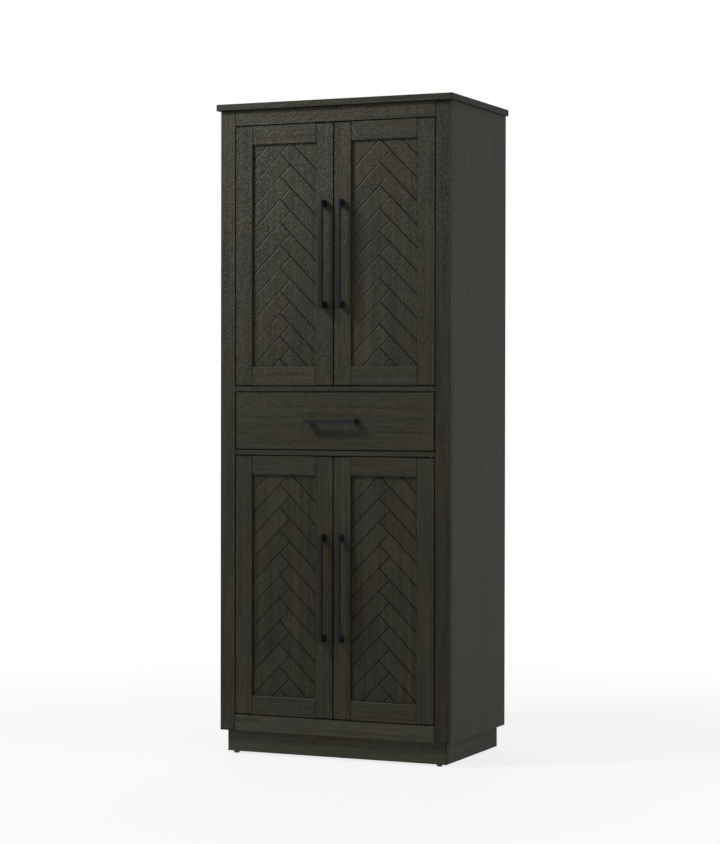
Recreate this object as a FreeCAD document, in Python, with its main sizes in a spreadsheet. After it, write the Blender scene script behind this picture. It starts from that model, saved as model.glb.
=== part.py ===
import FreeCAD, Part
import Sketcher
import math
import os
import re

# A free-standing pantry cabinet: a panel case on a plinth with a face frame, two inset doors
# below, one inset drawer, two inset doors above and an overhanging top. Millimetres, +Z up,
# front towards -Y, origin on the floor in the middle of the whole object's outline.

document = FreeCAD.newDocument("PantryCabinet")
sheet = document.addObject("Spreadsheet::Sheet", "Sizes")

# Driving dimensions: alias, number, what it is.
driving_sizes = [
    ("caseWidth", 698, "case across its side panels"),
    ("caseDepth", 425, "case from the frame's face to the back panel's back"),
    ("sideThickness", 16, "side panel"),
    ("deckThickness", 16, "fixed decks and shelves"),
    ("backThickness", 4, "back panel"),
    ("backRebate", 8, "width of the side panel's rebate for the back panel"),
    ("edgeEase", 0.8, "chamfer on every board's edges"),
    ("fineEase", 0.3, "chamfer on the metal pieces"),
    ("slabThickness", 18, "top slab"),
    ("slabSideOverhang", 8, "slab past the case at each side"),
    ("slabFrontOverhang", 13, "slab past the face frame"),
    ("glideHeight", 6, "floor glide under the plinth"),
    ("glideDiameter", 14, "floor glide"),
    ("glideInset", 24, "glide centre from the plinth's end"),
    ("glideFlat", 8, "glide's flat sole across"),
    ("glideDome", 3, "height of the glide's sloping rim"),
    ("glideNailDiameter", 3, "glide's nail"),
    ("glideNailLength", 20, "glide's nail in the plinth"),
    ("plinthHeight", 60, "visible plinth"),
    ("plinthThickness", 16, "plinth boards"),
    ("plinthFrontInset", 17, "plinth behind the frame's face"),
    ("plinthBackInset", 20, "plinth in front of the back"),
    ("stopRoom", 1, "face frame thicker than the doors, so that the stops clear them"),
    ("frameStileWidth", 45, "face frame's uprights"),
    ("bottomRailHeight", 46, "face frame's lowest rail"),
    ("midRailHeight", 14, "rails above and below the drawer"),
    ("topRailHeight", 43, "face frame's highest rail"),
    ("lowerOpeningHeight", 732, "opening for the lower doors"),
    ("drawerOpeningHeight", 164, "opening for the drawer"),
    ("upperOpeningHeight", 732, "opening for the upper doors"),
    ("stretcherWidth", 80, "stretchers under the slab"),
    ("inset", 2.5, "gap round an inset door or drawer front"),
    ("meetingGap", 3, "gap between the two doors of a pair"),
    ("doorThickness", 19, "doors and drawer front"),
    ("doorStileWidth", 51, "door frame's uprights"),
    ("doorRailHeight", 52, "door frame's rails"),
    ("panelRecess", 8, "door panel behind the door frame's face"),
    ("panelThickness", 6, "door panel"),
    ("panelTongue", 8, "door panel's edge held in the frame"),
    ("tongueRoom", 1, "groove deeper than the tongue"),
    ("plankWidth", 45, "herringbone plank across its length"),
    ("vGrooveWidth", 2.2, "herringbone groove"),
    ("vGrooveDepth", 2, "herringbone groove"),
    ("leftPhase", 60, "first herringbone corner below the left panels' top"),
    ("rightPhase", 30, "first herringbone corner below the right panels' top"),
    ("handleProjection", 32, "handle's front from the door's face"),
    ("handleWidth", 12, "handle bar across"),
    ("handleDepth", 9, "handle bar front to back"),
    ("handlePost", 18, "handle post along the bar"),
    ("doorHandleLength", 298, "upright handles"),
    ("drawerHandleLength", 156, "level handle"),
    ("pivotInset", 12, "pivot axis from the door's hinge edge"),
    ("pivotSetback", 7, "pivot axis behind the door's face"),
    ("pinRadius", 2.5, "pivot pin"),
    ("pinFit", 0.05, "running clearance round a pivot pin"),
    ("pinReach", 12, "pivot pin inside the door"),
    ("pinSeat", 8, "pivot pin inside the rail"),
    ("collarRadius", 4.5, "pivot pin's collar"),
    ("collarRoom", 0.3, "collar to door"),
    ("bushRadius", 4, "pivot bush outside"),
    ("bushLength", 14, "pivot bush"),
    ("plateLength", 44, "pivot plate along the rail"),
    ("plateWidth", 10, "pivot plate front to back"),
    ("plateThickness", 2, "pivot plate let into the rail"),
    ("stopLength", 160, "door stop block"),
    ("stopDepth", 16, "door stop block front to back"),
    ("stopDrop", 16, "door stop below the opening's head"),
    ("magnetRadius", 5, "catch magnet"),
    ("magnetLength", 6, "catch magnet"),
    ("magnetProud", 0.7, "catch magnet out of the stop block"),
    ("magnetSpacing", 60, "catch magnet from the cabinet's middle"),
    ("magnetDrop", 8, "catch magnet below the opening's head"),
    ("shelfSideRoom", 1, "shelf to side panel"),
    ("shelfSetback", 12, "shelf behind the face frame"),
    ("shelfBackRoom", 1, "shelf to back panel"),
    ("supportRadius", 2.45, "shelf support pin"),
    ("supportSeat", 9, "shelf support pin in the side panel"),
    ("supportReach", 9, "shelf support pin under the shelf"),
    ("supportFit", 0.05, "clearance round a shelf support pin"),
    ("supportEndInset", 40, "shelf support pin from the shelf's front or back edge"),
    ("supportHoleDepth", 10, "hole for a shelf support pin"),
    ("supportPitch", 32, "spacing of the shelf support holes"),
    ("supportHoles", 5, "holes in each column"),
    ("lowerShelfLevel", 340, "middle hole of the lower shelf above its deck"),
    ("upperShelfLevel", 236, "middle hole of the first upper shelf above its deck"),
    ("upperShelfRise", 256, "second upper shelf above the first"),
    ("drawerBackRoom", 52, "drawer box to back panel"),
    ("drawerBoxHeight", 125, "drawer sides"),
    ("drawerBoxLift", 8, "drawer box above its deck"),
    ("drawerBoardThickness", 12, "drawer box boards"),
    ("drawerBottomThickness", 5, "drawer bottom"),
    ("drawerBottomLift", 10, "drawer bottom above the sides' lower edge"),
    ("drawerBottomTongue", 6, "drawer bottom's edge held in the boards"),
    ("runnerSpace", 12.7, "drawer side to runner block"),
    ("runnerHeight", 45, "fixed runner section"),
    ("runnerSheet", 1.5, "runner steel"),
    ("runnerFit", 0.3, "running clearance between runner sections"),
    ("runnerFlange", 9, "runner flange across"),
    ("runnerShortfall", 5, "runner sections shorter than the drawer box"),
    ("runnerLift", 12, "fixed runner above the deck"),
    ("runnerBlockHeight", 70, "packing block behind the runner"),
]
for row, (alias, number, meaning) in enumerate(driving_sizes, start=1):
    sheet.set(f"A{row}", meaning)
    sheet.set(f"B{row}", str(number))
    sheet.setAlias(f"B{row}", alias)
document.recompute()

# Places and sizes worked out from the driving dimensions.
derived = {
    "frameThickness": "doorThickness + stopRoom",
    "faceFront": "(handleProjection - caseDepth) / 2",
    "frameBack": "faceFront + frameThickness",
    "caseBack": "faceFront + caseDepth",
    "panelFront": "caseBack - backThickness",
    "insideDepth": "caseDepth - frameThickness - backThickness",
    "insideWidth": "caseWidth - 2 * sideThickness",
    "openingWidth": "caseWidth - 2 * frameStileWidth",
    "caseBottom": "glideHeight + plinthHeight",
    "lowerSill": "caseBottom + bottomRailHeight",
    "lowerHead": "lowerSill + lowerOpeningHeight",
    "drawerSill": "lowerHead + midRailHeight",
    "drawerHead": "drawerSill + drawerOpeningHeight",
    "upperSill": "drawerHead + midRailHeight",
    "upperHead": "upperSill + upperOpeningHeight",
    "slabBottom": "upperHead + topRailHeight",
    "caseHeight": "slabBottom - caseBottom",
    "plinthWidth": "insideWidth",
    "plinthFront": "faceFront + plinthFrontInset",
    "plinthBackFront": "caseBack - plinthBackInset - plinthThickness",
    "plinthSideLength": "plinthBackFront - plinthFront - plinthThickness",
    "deckUnderside": "lowerSill - deckThickness",
    "doorWidth": "(openingWidth - 2 * inset - meetingGap) / 2",
    "doorRailLength": "doorWidth - 2 * doorStileWidth",
    "grooveDepth": "panelTongue + tongueRoom",
    "panelBack": "panelRecess + panelThickness",
    "panelWidth": "doorRailLength + 2 * panelTongue",
    "frontWidth": "openingWidth - 2 * inset",
    "frontHeight": "drawerOpeningHeight - 2 * inset",
    "boxWidth": "openingWidth - 2 * runnerSpace",
    "pivotEnd": "inset + pivotInset",
    "pinHoleRadius": "pinRadius + pinFit",
    "pinDepth": "plateThickness + pinSeat",
    "plateSetback": "pivotSetback - plateWidth / 2",
    "stopSpare": "stopDrop - deckThickness",
    "boxInside": "boxWidth - 2 * drawerBoardThickness",
    "boxFront": "faceFront + doorThickness",
    "boxBottom": "drawerSill + drawerBoxLift",
    "drawerBoxDepth": "caseDepth - backThickness - doorThickness - drawerBackRoom",
    "runnerLength": "drawerBoxDepth - runnerShortfall",
    "shelfWidth": "insideWidth - 2 * shelfSideRoom",
    "shelfDepth": "insideDepth - shelfSetback - shelfBackRoom",
    "shelfFront": "frameBack + shelfSetback",
    "middleSection": "runnerHeight - 2 * (runnerSheet + runnerFit)",
    "innerSection": "middleSection - 2 * (runnerSheet + runnerFit)",
    "runnerBottom": "drawerSill + runnerLift",
    "groovePitch": "plankWidth * sqrt(2)",
    "grooveOffset": "groovePitch / 4",
    "grooveRun": "panelWidth / 2 + grooveOffset",
    "grooveTall": "vGrooveWidth * sqrt(2)",
}


def bind(text):
    """Turn plain names into references to the sheet, opening up the derived ones."""
    def reference(match):
        word = match.group(0)
        return f"({bind(derived[word])})" if word in derived else f"Sizes.{word}"
    return re.sub(r"\b[A-Za-z]\w*\b(?!\()", reference, text)


def value(text):
    """The present value of an expression, as a plain number."""
    return float(sheet.evalExpression(bind(text)))


def place(thing, corner):
    for axis, text in zip("xyz", corner):
        thing.setExpression(f"Placement.Base.{axis}", bind(text))


def new_body(label, corner):
    body = document.addObject("PartDesign::Body", label)
    body.Label = label
    place(body, corner)
    return body


def new_sketch(body, role, lift=None):
    """A sketch on one of the body's own origin planes, raised along the plane's normal."""
    plane = next(item for item in body.Origin.OriginFeatures if item.Role == role)
    sketch = body.newObject("Sketcher::SketchObject", f"{body.Name}_sketch")
    sketch.AttachmentSupport = [(plane, "")]
    sketch.MapMode = "FlatFace"
    if lift:
        sketch.setExpression("AttachmentOffset.Base.z", bind(lift))
    return sketch


def pin_point(sketch, geometry, vertex, position):
    """Fix one sketch point by its two distances from the sketch's origin."""
    for kind, axis, text in zip(("DistanceX", "DistanceY"), (-2, -1), position):
        if text == "0":
            sketch.addConstraint(Sketcher.Constraint("PointOnObject", geometry, vertex, axis))
            continue
        row = sketch.addConstraint(
            Sketcher.Constraint(kind, -1, 1, geometry, vertex, value(text)))
        sketch.setExpression(f"Constraints[{row}]", bind(text))


def add_outline(sketch, points):
    """A closed outline of straight lines through points given as pairs of expressions."""
    first = sketch.GeometryCount
    corners = [FreeCAD.Vector(value(across), value(along), 0) for across, along in points]
    count = len(corners)
    for index in range(count):
        sketch.addGeometry(Part.LineSegment(corners[index], corners[(index + 1) % count]))
    for index in range(count):
        follower = first + (index + 1) % count
        sketch.addConstraint(Sketcher.Constraint("Coincident", first + index, 2, follower, 1))
    for index, position in enumerate(points):
        pin_point(sketch, first + index, 1, position)


def add_circle(sketch, centre, radius):
    middle = FreeCAD.Vector(value(centre[0]), value(centre[1]), 0)
    up = FreeCAD.Vector(0, 0, 1)
    circle = sketch.addGeometry(Part.Circle(middle, up, value(radius)))
    pin_point(sketch, circle, 3, centre)
    row = sketch.addConstraint(Sketcher.Constraint("Radius", circle, value(radius)))
    sketch.setExpression(f"Constraints[{row}]", bind(radius))


def rectangle(left, low, right, high):
    return [(left, low), (right, low), (right, high), (left, high)]


def add_pad(body, sketch, length, backwards=False):
    pad = body.newObject("PartDesign::Pad", f"{body.Name}_pad")
    pad.Profile = sketch
    pad.setExpression("Length", bind(length))
    pad.Reversed = backwards
    document.recompute()
    return pad


def add_pocket(body, sketch, depth, backwards=False):
    """A pocket that must take material away: it cuts against the sketch's normal."""
    before = body.Shape.Volume
    pocket = body.newObject("PartDesign::Pocket", f"{body.Name}_pocket")
    pocket.Profile = sketch
    pocket.setExpression("Length", bind(depth))
    pocket.Reversed = backwards
    document.recompute()
    if body.Shape.Volume >= before:
        raise ValueError(f"{pocket.Name} cuts nothing from {body.Label}")
    return pocket


def add_pattern(body, feature, sketch, length, occurrences, backwards=False):
    """Repeat a feature along its sketch's vertical axis."""
    pattern = body.newObject("PartDesign::LinearPattern", f"{body.Name}_pattern")
    pattern.Originals = [feature]
    pattern.Direction = (sketch, ["V_Axis"])
    pattern.Reversed = backwards
    pattern.setExpression("Length", bind(length))
    pattern.setExpression("Occurrences", bind(occurrences))
    body.Tip = pattern
    document.recompute()
    return pattern


def ease_edges(body, size="edgeEase"):
    sharp = body.Tip
    chamfer = body.newObject("PartDesign::Chamfer", f"{body.Name}_ease")
    chamfer.Base = (sharp, [""])
    chamfer.UseAllEdges = True
    chamfer.setExpression("Size", bind(size))
    document.recompute()
    if body.Shape.Volume >= sharp.Shape.Volume:
        raise ValueError(f"{body.Label} kept its sharp edges")


def board(label, corner, size):
    """A rectangular board with eased edges, from its low corner and its three sizes."""
    body = new_body(label, corner)
    sketch = new_sketch(body, "XY_Plane")
    add_outline(sketch, rectangle("0", "0", size[0], size[1]))
    add_pad(body, sketch, size[2])
    ease_edges(body)
    return body


def profile_bar(label, corner, role, outline, length, ease="edgeEase"):
    """A bar of constant section: an outline on one origin plane, run into positive space."""
    body = new_body(label, corner)
    sketch = new_sketch(body, role)
    add_outline(sketch, outline)
    add_pad(body, sketch, length, backwards=(role == "XZ_Plane"))
    ease_edges(body, ease)
    return body


def turned(label, outline):
    """A turned piece standing on the origin: an outline of radius and height, spun round Z."""
    body = document.addObject("PartDesign::Body", label)
    body.Label = label
    sketch = new_sketch(body, "XZ_Plane")
    add_outline(sketch, outline)
    turn = body.newObject("PartDesign::Revolution", f"{label}_turn")
    turn.Profile = sketch
    turn.ReferenceAxis = (sketch, ["V_Axis"])
    document.recompute()
    return body


def copies(label, master, places, turns=None):
    """One node made of copies of a master piece, each with its own place and turn."""
    members = []
    for index, corner in enumerate(places):
        member = document.addObject("App::Link", f"{label}_{index + 1}")
        member.LinkedObject = master
        if turns:
            member.Placement = FreeCAD.Placement(FreeCAD.Vector(), turns[index])
        place(member, corner)
        members.append(member)
    return group(label, members)


def group(label, members):
    node = document.addObject("Part::Compound", label)
    node.Label = label
    node.Links = members
    document.recompute()
    return node


def bore(body, role, centres, radius, depth, lift=None, backwards=False):
    """Round blind holes of one size, from one face of a body."""
    sketch = new_sketch(body, role, lift)
    for centre in centres:
        add_circle(sketch, centre, radius)
    pocket = add_pocket(body, sketch, depth, backwards)
    return pocket, sketch


def side_panel(side):
    """A side panel rebated for the back panel, with its columns of shelf support holes."""
    depth = "(caseDepth - frameThickness)"
    rebate = "(sideThickness - backRebate)"
    if side == "left":
        west = "-caseWidth / 2"
        outline = [
            ("0", "0"), ("sideThickness", "0"), ("sideThickness", "insideDepth"),
            (rebate, "insideDepth"), (rebate, depth), ("0", depth)]
        inner_face = "sideThickness"
    else:
        west = "insideWidth / 2"
        outline = [
            ("0", "0"), ("sideThickness", "0"), ("sideThickness", depth),
            ("backRebate", depth), ("backRebate", "insideDepth"), ("0", "insideDepth")]
        inner_face = None
    body = profile_bar(
        f"side_panel_{side}", (west, "frameBack", "caseBottom"), "XY_Plane", outline, "caseHeight")
    front_column = "shelfSetback + supportEndInset"
    back_column = "shelfSetback + shelfDepth - supportEndInset"
    column_height = "supportPitch * (supportHoles - 1)"
    for level in shelf_levels:
        lowest = f"{level} - {column_height} / 2 - caseBottom"
        feature, sketch = bore(
            body, "YZ_Plane", [(front_column, lowest), (back_column, lowest)],
            "supportRadius + supportFit", "supportHoleDepth", inner_face,
            backwards=(side == "right"))
        add_pattern(body, feature, sketch, column_height, "supportHoles")
    return body


def face_rail(label, bottom, height, pivots):
    """A face frame rail; the pivots' mortises and pin holes go in its top or bottom edge."""
    body = board(label, ("-openingWidth / 2", "faceFront", bottom),
                 ("openingWidth", "frameThickness", height))
    lift = height if pivots == "top" else None
    from_below = pivots == "bottom"
    far_end = "openingWidth"
    mortises = new_sketch(body, "XY_Plane", lift)
    plate_back = "plateSetback + plateWidth"
    add_outline(mortises, rectangle("0", "plateSetback", "plateLength", plate_back))
    add_outline(mortises, rectangle(
        f"{far_end} - plateLength", "plateSetback", far_end, plate_back))
    add_pocket(body, mortises, "plateThickness", backwards=from_below)
    centres = [("pivotEnd", "pivotSetback"), (f"{far_end} - pivotEnd", "pivotSetback")]
    bore(body, "XY_Plane", centres, "pinHoleRadius", "pinDepth", lift, backwards=from_below)
    return body


def door_stile(label, corner, height, groove_side, bore_inset=None):
    """An upright of a door frame, grooved for the panel, bored at both ends for its bushes."""
    wide, thick = "doorStileWidth", "doorThickness"
    front, back = "panelRecess", "panelBack"
    if groove_side == "right":
        root = f"{wide} - grooveDepth"
        outline = [("0", "0"), (wide, "0"), (wide, front), (root, front),
                   (root, back), (wide, back), (wide, thick), ("0", thick)]
    else:
        root = "grooveDepth"
        outline = [("0", "0"), (wide, "0"), (wide, thick), ("0", thick),
                   ("0", back), (root, back), (root, front), ("0", front)]
    body = profile_bar(label, corner, "XY_Plane", outline, height)
    if bore_inset:
        centre = [(bore_inset, "pivotSetback")]
        bore(body, "XY_Plane", centre, "bushRadius", "bushLength", backwards=True)
        bore(body, "XY_Plane", centre, "bushRadius", "bushLength", lift=height)
    return body


def door_rail(label, corner, groove_edge):
    """A cross rail of a door frame, grooved for the panel along its top or bottom edge."""
    tall, thick = "doorRailHeight", "doorThickness"
    front, back = "panelRecess", "panelBack"
    if groove_edge == "top":
        root = f"{tall} - grooveDepth"
        outline = [("0", "0"), (thick, "0"), (thick, tall), (back, tall),
                   (back, root), (front, root), (front, tall), ("0", tall)]
    else:
        root = "grooveDepth"
        outline = [("0", "0"), (front, "0"), (front, root), (back, root),
                   (back, "0"), (thick, "0"), (thick, tall), ("0", tall)]
    return profile_bar(label, corner, "YZ_Plane", outline, "doorRailLength")


def herringbone_panel(label, corner, height, phase):
    """A door panel with its herringbone cut in as two families of 45 degree grooves."""
    body = board(label, corner, ("panelWidth", "panelThickness", height))
    half = "grooveTall / 2"
    first_corner = f"{height} - panelTongue - {phase} + 2 * groovePitch"
    first_left = f"{height} - panelTongue - {phase} + groovePitch + 2 * grooveOffset"
    families = [
        ("0", f"{first_corner} - grooveRun", "grooveRun", first_corner, first_corner),
        ("panelWidth - grooveRun", first_left, "panelWidth", f"{first_left} - grooveRun", first_left),
    ]
    for west, west_level, east, east_level, highest in families:
        sketch = new_sketch(body, "XZ_Plane")
        add_outline(sketch, [
            (west, f"{west_level} - {half}"), (east, f"{east_level} - {half}"),
            (east, f"{east_level} + {half}"), (west, f"{west_level} + {half}")])
        feature = add_pocket(body, sketch, "vGrooveDepth")
        repeats = f"floor(({highest}) / groovePitch)"
        add_pattern(body, feature, sketch, f"{repeats} * groovePitch", f"{repeats} + 1",
                    backwards=True)
    return body


def bar_handle(label, corner, length, upright):
    """A square bar pull with a post at each end, standing upright or lying level."""
    deep, thick, post = "handleProjection", "handleDepth", "handlePost"
    far = f"{length} - {post}"
    outline = [("0", "0"), (deep, "0"), (deep, post), (thick, post),
               (thick, far), (deep, far), (deep, length), ("0", length)]
    if upright:
        return profile_bar(label, corner, "YZ_Plane", outline, "handleWidth")
    lying = [(along, across) for across, along in outline]
    return profile_bar(label, corner, "XY_Plane", lying, "handleWidth")


def door(storey, side, sill, opening_height):
    """One inset door: a grooved frame round a herringbone panel, its pull and its bushes."""
    name = f"{storey}_{side}"
    left_handed = side == "left"
    west = "(inset - openingWidth / 2)" if left_handed else "(meetingGap / 2)"
    bottom = f"({sill} + inset)"
    height = f"({opening_height} - 2 * inset)"
    far_stile = f"{west} + doorWidth - doorStileWidth"
    hinge_west, pull_west = (west, far_stile) if left_handed else (far_stile, west)
    hinge_groove, pull_groove = ("right", "left") if left_handed else ("left", "right")
    bore_inset = "pivotInset" if left_handed else "doorStileWidth - pivotInset"
    phase = "leftPhase" if left_handed else "rightPhase"
    panel_height = f"({height} - 2 * doorRailHeight + 2 * panelTongue)"
    rail_west = f"{west} + doorStileWidth"
    door_top = f"{bottom} + {height}"
    hinge_stile = door_stile(f"{name}_door_hinge_stile", (hinge_west, "faceFront", bottom),
                             height, hinge_groove, bore_inset)
    pull_stile = door_stile(f"{name}_door_pull_stile", (pull_west, "faceFront", bottom),
                            height, pull_groove)
    rails = group(f"{name}_door_rails", [
        door_rail(f"{name}_low_rail", (rail_west, "faceFront", bottom), "top"),
        door_rail(f"{name}_high_rail",
                  (rail_west, "faceFront", f"{door_top} - doorRailHeight"), "bottom")])
    panel = herringbone_panel(
        f"{name}_door_panel",
        (f"{rail_west} - panelTongue", "faceFront + panelRecess",
         f"{bottom} + doorRailHeight - panelTongue"),
        panel_height, phase)
    handle = bar_handle(
        f"{name}_door_handle",
        (f"{pull_west} + (doorStileWidth - handleWidth) / 2", "faceFront - handleProjection",
         f"{bottom} + ({height} - doorHandleLength) / 2"),
        "doorHandleLength", upright=True)
    axis = (f"{hinge_west} + {bore_inset}", "faceFront + pivotSetback")
    bushes = copies(f"{name}_door_bushes", bush, [
        (*axis, bottom), (*axis, f"{door_top} - bushLength")])
    nodes.extend([hinge_stile, pull_stile, rails, panel, handle, bushes])


def channel(label, side, west, bottom, height, opens):
    """One steel runner section: a channel on its side, opening left or right."""
    wide, sheet_steel = "runnerFlange", "runnerSheet"
    top_inside = f"{height} - {sheet_steel}"
    if opens == "right":
        web = sheet_steel
        outline = [("0", "0"), (wide, "0"), (wide, sheet_steel), (web, sheet_steel),
                   (web, top_inside), (wide, top_inside), (wide, height), ("0", height)]
    else:
        web = f"{wide} - {sheet_steel}"
        outline = [("0", "0"), (wide, "0"), (wide, height), ("0", height),
                   ("0", top_inside), (web, top_inside), (web, sheet_steel), ("0", sheet_steel)]
    return profile_bar(f"{label}_{side}", (west, "frameBack", bottom), "XZ_Plane", outline,
                       "runnerLength", ease="fineEase")


def runner_section(label, reach, bottom, height, towards_middle):
    """A left and a right runner section; reach is from the runner block to the section."""
    left = channel(label, "left", f"{reach} - openingWidth / 2", bottom, height,
                   "right" if towards_middle else "left")
    right = channel(label, "right", f"openingWidth / 2 - {reach} - runnerFlange", bottom, height,
                    "left" if towards_middle else "right")
    return group(label, [left, right])


def door_stop(label, head, top):
    """A block behind the doors' heads that stops them, bored for its two magnets."""
    body = board(label, ("-stopLength / 2", "frameBack", f"{head} - stopDrop"),
                 ("stopLength", "stopDepth", f"{top} - {head} + stopDrop"))
    level = "stopDrop - magnetDrop"
    centres = [("stopLength / 2 - magnetSpacing", level), ("stopLength / 2 + magnetSpacing", level)]
    bore(body, "XZ_Plane", centres, "magnetRadius", "magnetLength - magnetProud")
    return body


def drawer_side(side):
    """A drawer side with the groove for the bottom in its inner face."""
    thick, tall = "drawerBoardThickness", "drawerBoxHeight"
    low, high = "drawerBottomLift", "drawerBottomLift + drawerBottomThickness"
    if side == "left":
        west, root = "-boxWidth / 2", f"{thick} - drawerBottomTongue"
        outline = [("0", "0"), (thick, "0"), (thick, low), (root, low),
                   (root, high), (thick, high), (thick, tall), ("0", tall)]
    else:
        west, root = f"boxWidth / 2 - {thick}", "drawerBottomTongue"
        outline = [("0", "0"), (thick, "0"), (thick, tall), ("0", tall),
                   ("0", high), (root, high), (root, low), ("0", low)]
    return profile_bar(f"drawer_side_{side}", (west, "boxFront", "boxBottom"), "XZ_Plane",
                       outline, "drawerBoxDepth")


def drawer_cross_board(label, front, groove_side):
    """The drawer box's own front or back, grooved on its inner face."""
    thick, tall = "drawerBoardThickness", "drawerBoxHeight"
    low, high = "drawerBottomLift", "drawerBottomLift + drawerBottomThickness"
    if groove_side == "back":
        root = f"{thick} - drawerBottomTongue"
        outline = [("0", "0"), (thick, "0"), (thick, low), (root, low),
                   (root, high), (thick, high), (thick, tall), ("0", tall)]
    else:
        root = "drawerBottomTongue"
        outline = [("0", "0"), (thick, "0"), (thick, tall), ("0", tall),
                   ("0", high), (root, high), (root, low), ("0", low)]
    return profile_bar(label, ("-boxInside / 2", front, "boxBottom"), "YZ_Plane", outline,
                       "boxInside")


upright_turn = FreeCAD.Rotation()
upside_down = FreeCAD.Rotation(FreeCAD.Vector(1, 0, 0), 180)
half_turn = FreeCAD.Rotation(FreeCAD.Vector(0, 0, 1), 180)
along_x = FreeCAD.Rotation(FreeCAD.Vector(0, 1, 0), 90)
along_y = FreeCAD.Rotation(FreeCAD.Vector(1, 0, 0), -90)
shelf_levels = [
    "(lowerSill + lowerShelfLevel)",
    "(upperSill + upperShelfLevel)",
    "(upperSill + upperShelfLevel + upperShelfRise)",
]
nodes = []

# Case: side panels, decks, back, stretchers, top slab.
nodes.append(side_panel("left"))
nodes.append(side_panel("right"))
for label, sill in [("bottom_deck", "lowerSill"), ("lower_deck", "drawerSill"),
                    ("upper_deck", "upperSill")]:
    nodes.append(board(label, ("-insideWidth / 2", "frameBack", f"{sill} - deckThickness"),
                       ("insideWidth", "insideDepth", "deckThickness")))
nodes.append(board("back_panel", ("-insideWidth / 2 - backRebate", "panelFront", "caseBottom"),
                   ("insideWidth + 2 * backRebate", "backThickness", "caseHeight")))
nodes.append(group("top_stretchers", [
    board(f"stretcher_{place_name}", ("-insideWidth / 2", front, "slabBottom - deckThickness"),
          ("insideWidth", "stretcherWidth", "deckThickness"))
    for place_name, front in [("front", "frameBack"), ("back", "panelFront - stretcherWidth")]]))
nodes.append(board(
    "top_slab",
    ("-caseWidth / 2 - slabSideOverhang", "faceFront - slabFrontOverhang", "slabBottom"),
    ("caseWidth + 2 * slabSideOverhang", "caseDepth + slabFrontOverhang", "slabThickness")))

# Face frame: two full uprights and four rails butted between them.
for side, west in [("left", "-caseWidth / 2"), ("right", "openingWidth / 2")]:
    nodes.append(board(f"face_stile_{side}", (west, "faceFront", "caseBottom"),
                       ("frameStileWidth", "frameThickness", "caseHeight")))
for label, bottom, height, pivots in [
        ("face_rail_bottom", "caseBottom", "bottomRailHeight", "top"),
        ("face_rail_lower", "lowerHead", "midRailHeight", "bottom"),
        ("face_rail_upper", "drawerHead", "midRailHeight", "top"),
        ("face_rail_top", "upperHead", "topRailHeight", "bottom")]:
    nodes.append(face_rail(label, bottom, height, pivots))

# Plinth frame on four nailed glides.
nail_radius = "glideNailDiameter / 2"
nail_centres = [("glideInset", "plinthThickness / 2"),
                ("plinthWidth - glideInset", "plinthThickness / 2")]
for label, front, height in [
        ("plinth_front", "plinthFront", "plinthHeight"),
        ("plinth_back", "plinthBackFront", "deckUnderside - glideHeight")]:
    plinth_board = board(label, ("-plinthWidth / 2", front, "glideHeight"),
                         ("plinthWidth", "plinthThickness", height))
    bore(plinth_board, "XY_Plane", nail_centres, nail_radius, "glideNailLength", backwards=True)
    nodes.append(plinth_board)
for side, west in [("left", "-plinthWidth / 2"), ("right", "plinthWidth / 2 - plinthThickness")]:
    nodes.append(board(
        f"plinth_{side}", (west, "plinthFront + plinthThickness", "glideHeight"),
        ("plinthThickness", "plinthSideLength", "deckUnderside - glideHeight")))
glide = turned("glide", [
    ("0", "0"), ("glideFlat / 2", "0"), ("glideDiameter / 2", "glideDome"),
    ("glideDiameter / 2", "glideHeight"), (nail_radius, "glideHeight"),
    (nail_radius, "glideHeight + glideNailLength"), ("0", "glideHeight + glideNailLength")])
nodes.append(copies("glides", glide, [
    (f"{sign}(plinthWidth / 2 - glideInset)", f"{front} + plinthThickness / 2", "0")
    for front in ("plinthFront", "plinthBackFront") for sign in ("-", "")]))

# Shelves, each on four support pins in the side panels' holes.
nodes.append(group("shelves", [
    board(f"shelf_{number}", ("-shelfWidth / 2", "shelfFront", f"{level} + supportRadius"),
          ("shelfWidth", "shelfDepth", "deckThickness"))
    for number, level in enumerate(shelf_levels, start=1)]))
support_length = "supportSeat + supportReach"
support = turned("shelf_support", [
    ("0", "0"), ("supportRadius", "0"), ("supportRadius", support_length), ("0", support_length)])
support_places = [
    (start, column, level)
    for level in shelf_levels
    for start in ("-insideWidth / 2 - supportSeat", "insideWidth / 2 - supportReach")
    for column in ("shelfFront + supportEndInset", "shelfFront + shelfDepth - supportEndInset")]
nodes.append(copies("shelf_supports", support, support_places, [along_x] * len(support_places)))

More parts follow.
